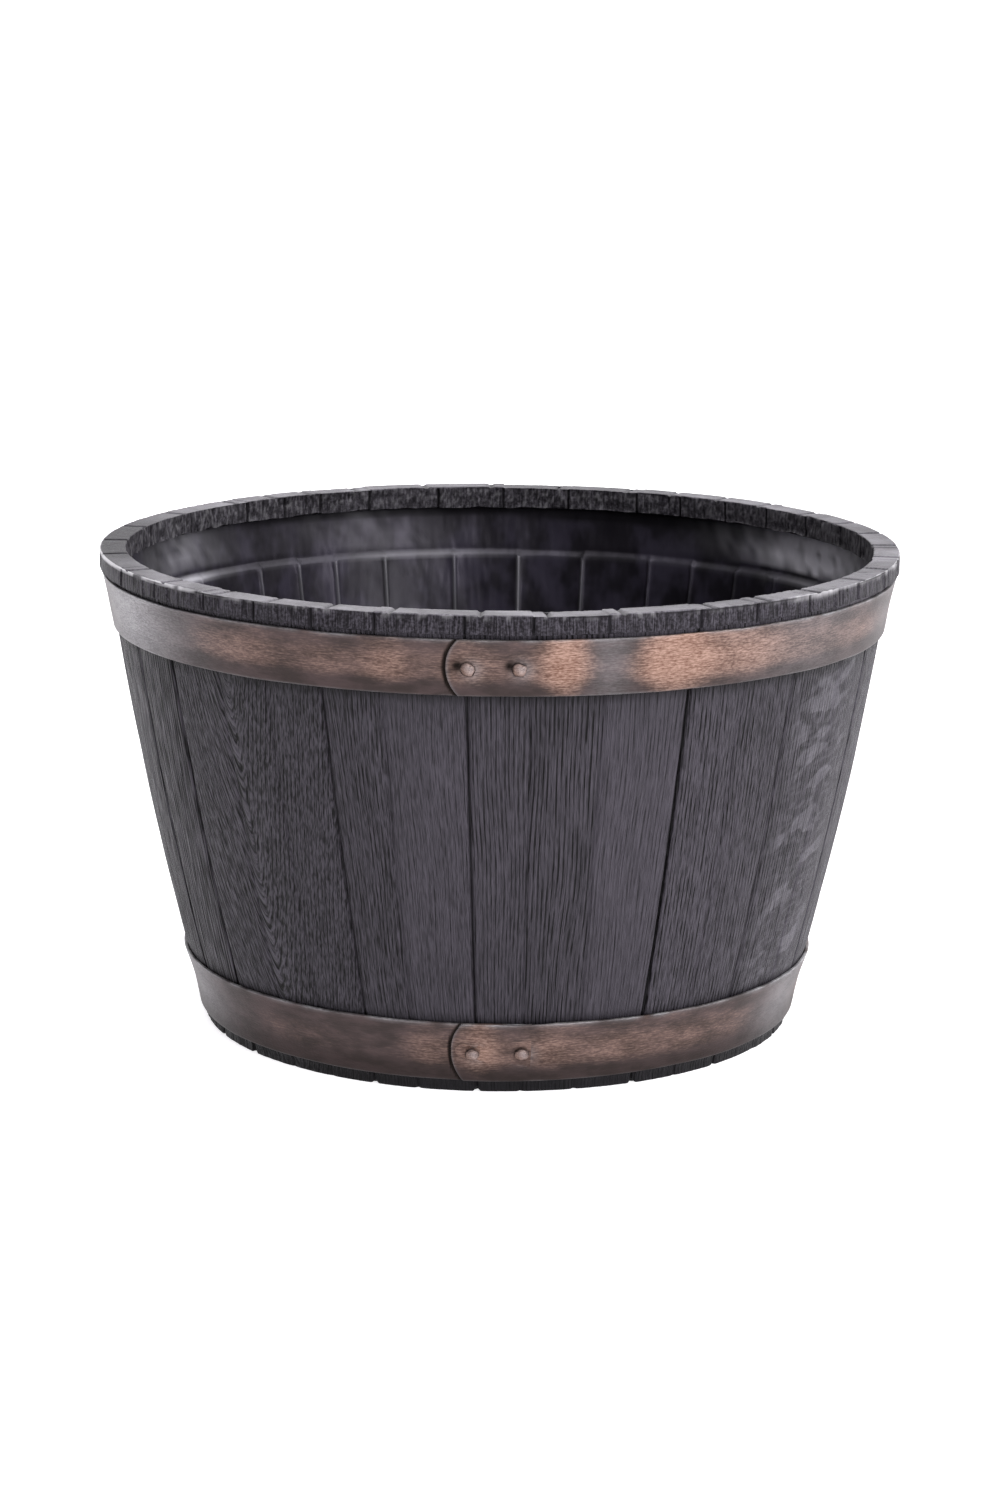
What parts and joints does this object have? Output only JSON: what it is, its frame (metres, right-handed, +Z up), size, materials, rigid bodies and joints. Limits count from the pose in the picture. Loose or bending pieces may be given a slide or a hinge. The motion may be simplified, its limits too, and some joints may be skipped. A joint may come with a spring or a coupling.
{
  "type": "half-barrel planter",
  "caption": "Round half-barrel planter in wood-effect plastic: tapered staved tub, clipped-on rim, two lapped and riveted hoops, open drained interior.",
  "frame": {"origin": "centre of the base, on the ground", "axes": "+Z up through the open mouth; -Y is the front, where both hoops' laps and rivets are; +X to the right seen from the front"},
  "size_m": [0.4999, 0.5, 0.3],
  "materials": {
    "stave_plastic": "moulded wood grain, charcoal, semi-matt outside and smoother inside",
    "rim_plastic": "moulded end grain, charcoal with paler worn top",
    "hoop_bronze_finish": "copper rubbed over dark bronze, satin",
    "rivet_bronze_finish": "copper rubbed over dark bronze, satin"
  },
  "bodies": {
    "root": {"tub": "stave_plastic", "rim_ring": "rim_plastic", "upper_hoop": "hoop_bronze_finish", "lower_hoop": "hoop_bronze_finish", "upper_rivet_left": "rivet_bronze_finish", "upper_rivet_right": "rivet_bronze_finish", "lower_rivet_left": "rivet_bronze_finish", "lower_rivet_right": "rivet_bronze_finish"}
  },
  "joints": []
}
